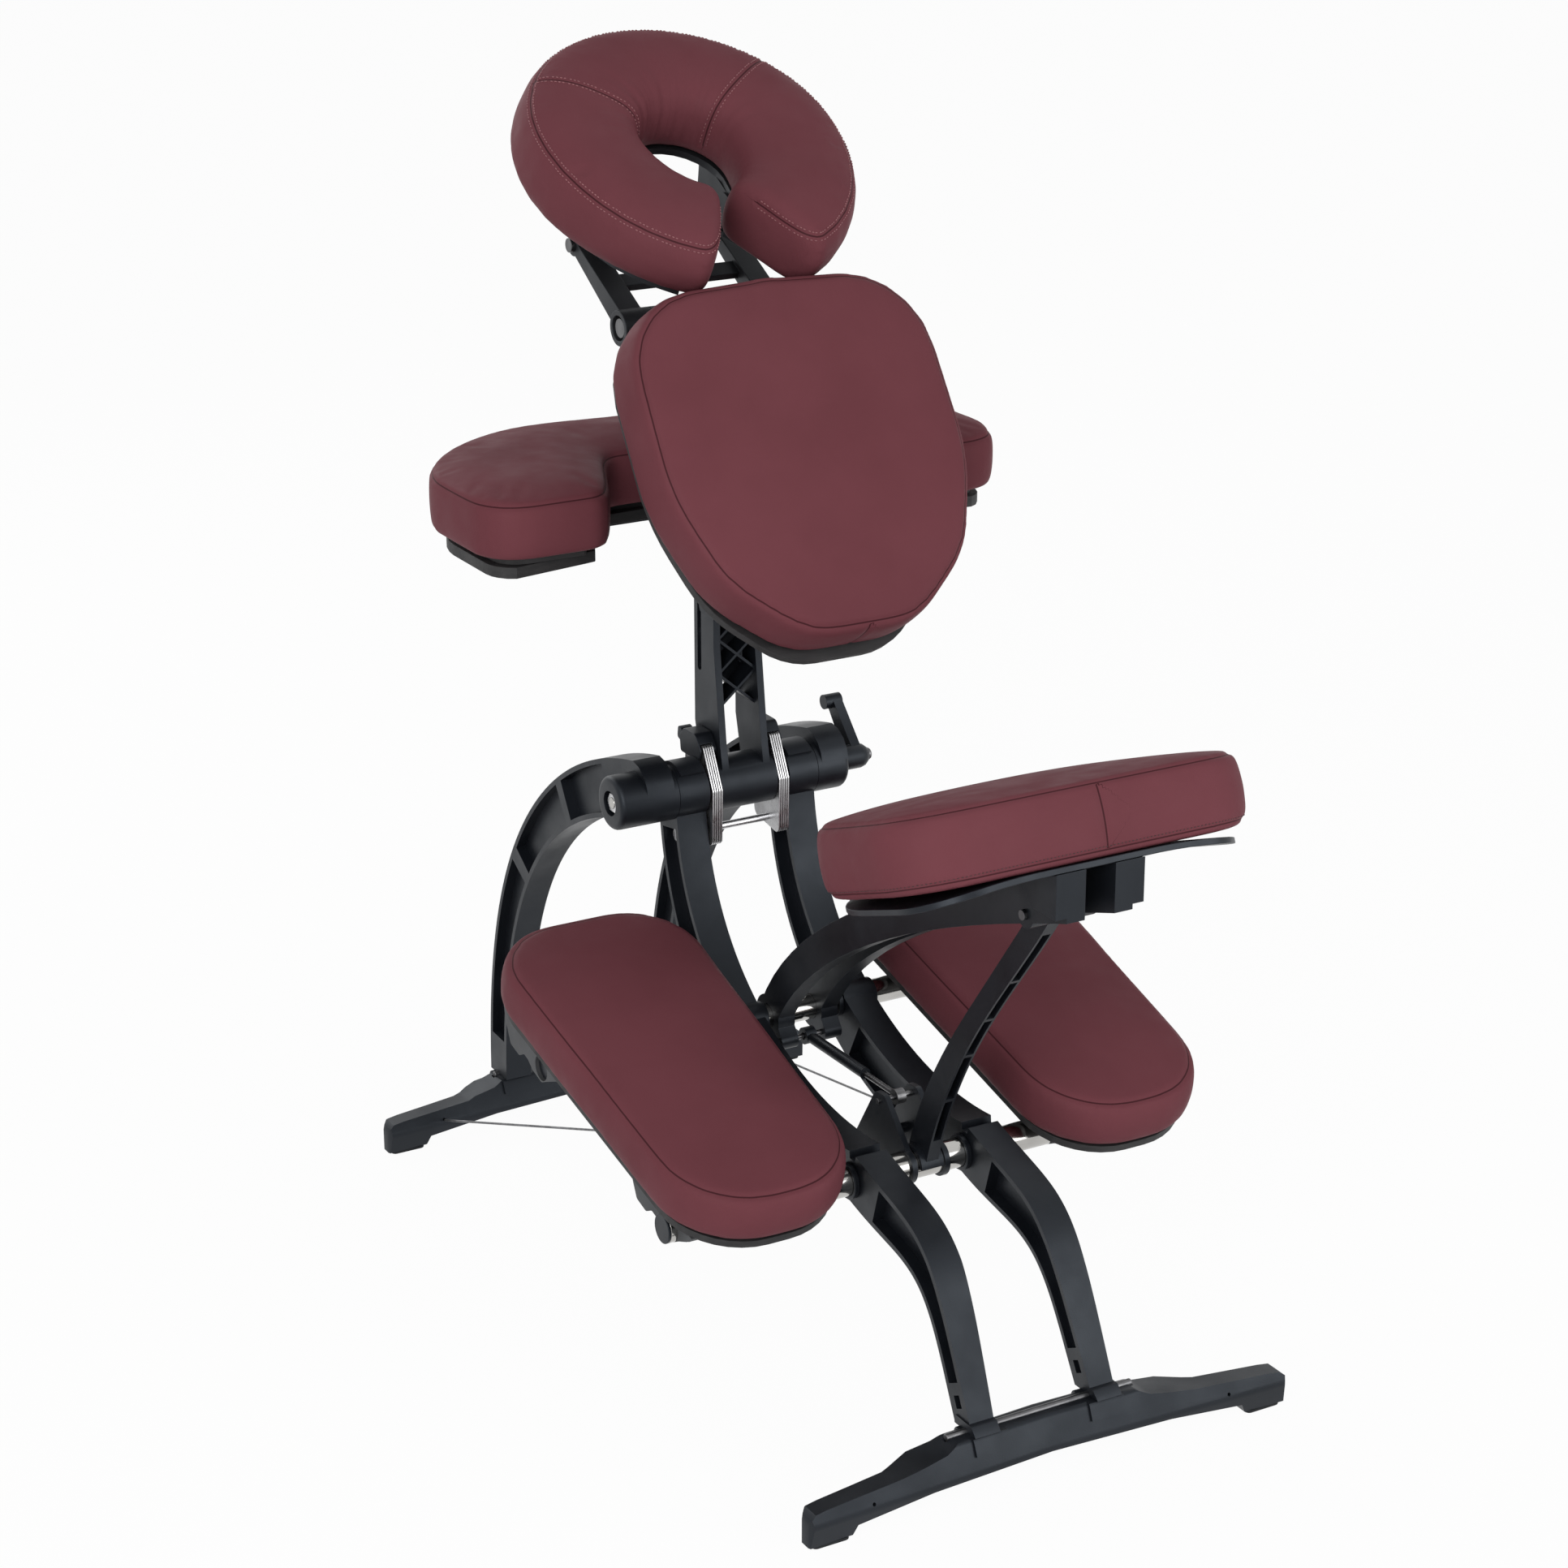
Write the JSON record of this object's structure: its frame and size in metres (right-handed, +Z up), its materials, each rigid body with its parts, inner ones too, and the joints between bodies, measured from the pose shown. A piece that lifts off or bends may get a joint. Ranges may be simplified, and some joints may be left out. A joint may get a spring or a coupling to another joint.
{
  "type": "kneeling massage chair",
  "caption": "Folding kneeling massage chair with padded face rest, chest pad, armrest, sloping seat and knee pads on a moulded nylon frame over two foot beams.",
  "frame": {"origin": "centre of the bounding box on the floor", "axes": "+Z up, +Y the way the seated person faces, X across the chair"},
  "size_m": [0.633, 1.0595, 1.2722],
  "materials": {
    "burgundy_vinyl": "soft matt",
    "black_nylon": "fine grained",
    "dark_plastic": "satin",
    "grey_plastic": "fine grained",
    "black_board": "matt",
    "chrome": "polished",
    "steel": "satin",
    "rubber": "matt"
  },
  "bodies": {
    "rear_frame": {"rear_leg_left": "black_nylon", "rear_leg_right": "black_nylon", "rear_foot": "black_nylon", "rear_glides": "rubber", "rear_foot_rod": "dark_plastic", "upper_tube": "chrome", "lower_tube": "chrome", "tube_collars": "dark_plastic", "tube_plugs": "dark_plastic", "hub_shaft": "steel", "hub_nut": "steel", "tie_rod": "chrome", "plates_left": "steel", "plates_right": "steel", "cap_left": "dark_plastic", "cap_right": "dark_plastic", "anchor_bracket": "dark_plastic", "bracket_pins": "steel", "knee_saddles_left": "dark_plastic", "knee_saddles_right": "dark_plastic", "knee_plate_left": "black_board", "knee_plate_right": "black_board", "knee_cushion_left": "burgundy_vinyl", "knee_cushion_right": "burgundy_vinyl", "stay_cables": "steel"},
    "front_frame": {"front_leg_left": "black_nylon", "front_leg_right": "black_nylon", "front_foot": "black_nylon", "front_glides": "rubber", "front_foot_rod": "dark_plastic"},
    "lever": {"clamp_lever": "dark_plastic", "lever_screw": "steel"},
    "post": {"chest_post": "black_nylon"},
    "chest": {"chest_carriage": "black_nylon", "chest_plate": "black_board", "chest_cushion": "burgundy_vinyl"},
    "knob": {"carriage_knob": "dark_plastic"},
    "arm_slide": {"arm_slider": "black_nylon", "slider_bolt": "steel"},
    "armrest": {"arm_bracket": "black_nylon", "arm_plate": "dark_plastic", "arm_board": "black_board", "arm_cushion": "burgundy_vinyl"},
    "face_stem": {"cradle_stem": "black_nylon", "cradle_bolt": "steel"},
    "face_yoke": {"cradle_yoke": "grey_plastic", "yoke_pin": "steel"},
    "face_rest": {"cradle_ring": "grey_plastic", "face_cushion": "burgundy_vinyl"},
    "seat": {"seat_arms": "black_nylon", "seat_pins": "steel", "seat_shell": "black_board", "seat_cushion": "burgundy_vinyl"},
    "strut": {"seat_strut": "black_nylon"},
    "spring_rod": {"gas_rod": "chrome"},
    "spring_body": {"gas_cylinder": "dark_plastic"}
  },
  "joints": [
    {"name": "front_fold", "type": "hinge", "parent": "rear_frame", "child": "front_frame", "pos_m": [0, 0.14, 0.517], "axis": [-1, 0, 0], "range_deg": [0, 60], "deforming": ["stay_cables"]},
    {"name": "lever_turn", "type": "hinge", "parent": "rear_frame", "child": "lever", "pos_m": [0, 0.14, 0.517], "axis": [1, 0, 0], "range_deg": [0, 90]},
    {"name": "post_tilt", "type": "hinge", "parent": "rear_frame", "child": "post", "pos_m": [0, 0.14, 0.517], "axis": [1, 0, 0], "range_deg": [-15, 8]},
    {"name": "chest_height", "type": "slide", "parent": "post", "child": "chest", "axis": [0, 0, 1], "range_m": [-0.04, 0]},
    {"name": "knob_turn", "type": "hinge", "parent": "chest", "child": "knob", "pos_m": [0, 0.142, 0.787], "axis": [1, 0, 0], "continuous": true},
    {"name": "arm_height", "type": "slide", "parent": "post", "child": "arm_slide", "axis": [0, 0, 1], "range_m": [-0.03, 0.02]},
    {"name": "arm_fold", "type": "hinge", "parent": "arm_slide", "child": "armrest", "pos_m": [0, 0.204, 0.7745], "axis": [-1, 0, 0], "range_deg": [0, 70]},
    {"name": "face_height", "type": "slide", "parent": "post", "child": "face_stem", "axis": [0, 0, 1], "range_m": [0, 0.05]},
    {"name": "face_lift", "type": "hinge", "parent": "face_stem", "child": "face_yoke", "pos_m": [0, 0.207, 1], "axis": [1, 0, 0], "range_deg": [-20, 0]},
    {"name": "face_tilt", "type": "hinge", "parent": "face_yoke", "child": "face_rest", "pos_m": [0, 0.31672, 1.06593], "axis": [1, 0, 0], "range_deg": [-20, 0]},
    {"name": "seat_lift", "type": "hinge", "parent": "rear_frame", "child": "seat", "pos_m": [0, 0.01245, 0.29991], "axis": [-1, 0, 0], "range_deg": [0, 16]},
    {"name": "strut_swing", "type": "hinge", "parent": "seat", "child": "strut", "pos_m": [0, -0.46355, 0.58291], "axis": [-1, 0, 0], "range_deg": [-5, 0]},
    {"name": "spring_swing", "type": "hinge", "parent": "rear_frame", "child": "spring_rod", "pos_m": [0, -0.191, 0.282], "axis": [1, 0, 0], "range_deg": [0, 2.4]},
    {"name": "spring_stroke", "type": "slide", "parent": "spring_rod", "child": "spring_body", "axis": [0, -0.9999, 0.0171], "range_m": [0, 0.0046]}
  ],
  "couplings": [
    {"joint": "strut_swing", "follows": "seat_lift", "ratio": -0.3},
    {"joint": "spring_swing", "follows": "seat_lift", "ratio": 0.147},
    {"joint": "spring_stroke", "follows": "seat_lift", "m_per_rad": 0.0162}
  ]
}
